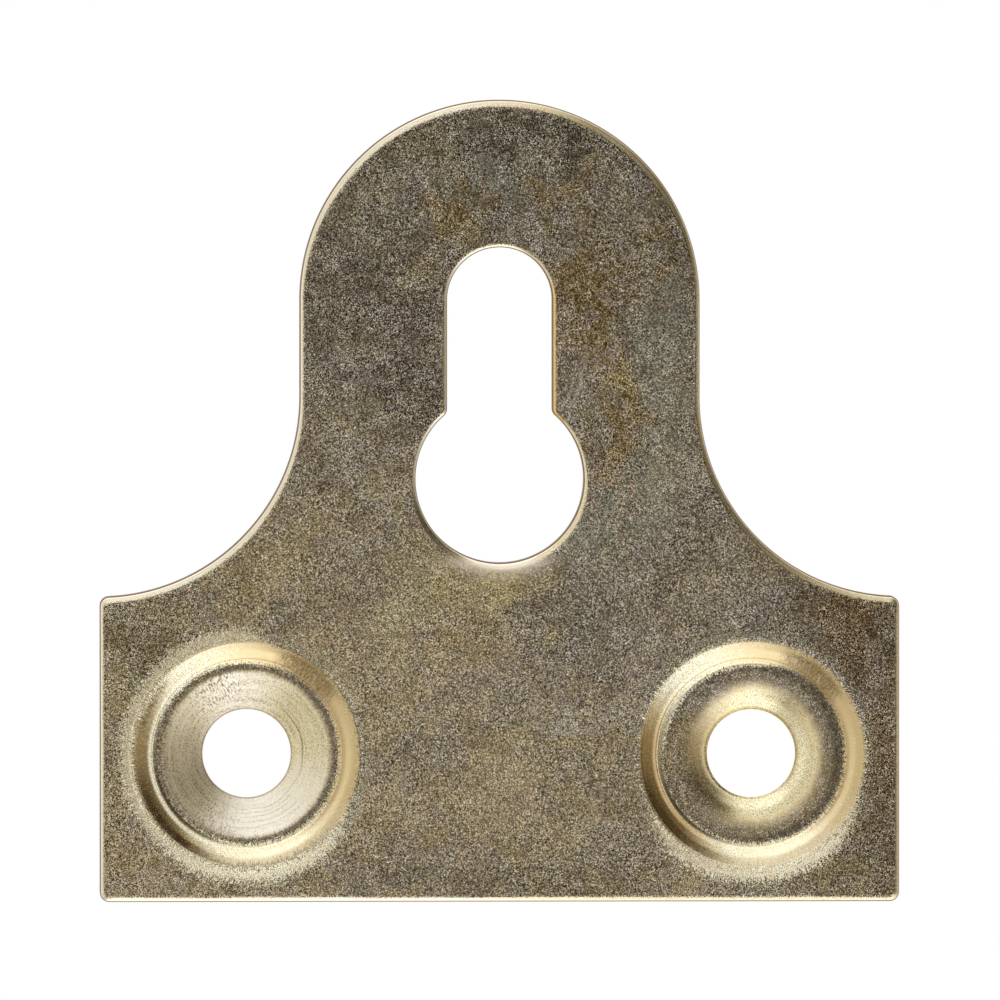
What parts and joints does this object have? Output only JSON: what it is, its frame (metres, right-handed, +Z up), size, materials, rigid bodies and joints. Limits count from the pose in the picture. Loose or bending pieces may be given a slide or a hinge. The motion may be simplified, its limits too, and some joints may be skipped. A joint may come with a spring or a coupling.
{
  "type": "slotted mirror plate",
  "caption": "Pressed brassed-steel hanging plate: a foot with dished screw holes and a round-topped tongue with a keyhole slot that drops over a wall screw.",
  "frame": {"origin": "on the flat back face, midway between the axes of the two screw holes, 7 mm above the bottom edge", "axes": "+Z up as the plate hangs, from the screw holes towards the tongue and the slot's closed end; -Y out of the front, the pictured side with the screw-head seats; +Y out of the back, which lies on the frame; +X to the right seen from the front"},
  "size_m": [0.038, 0.0022, 0.0381],
  "materials": {
    "brassed_steel": "thin brass plate on sheet steel: matt grained flats darkened to olive brown, burnished cream-gold bends and edges"
  },
  "bodies": {
    "root": {"mirror_plate": "brassed_steel"}
  },
  "joints": []
}
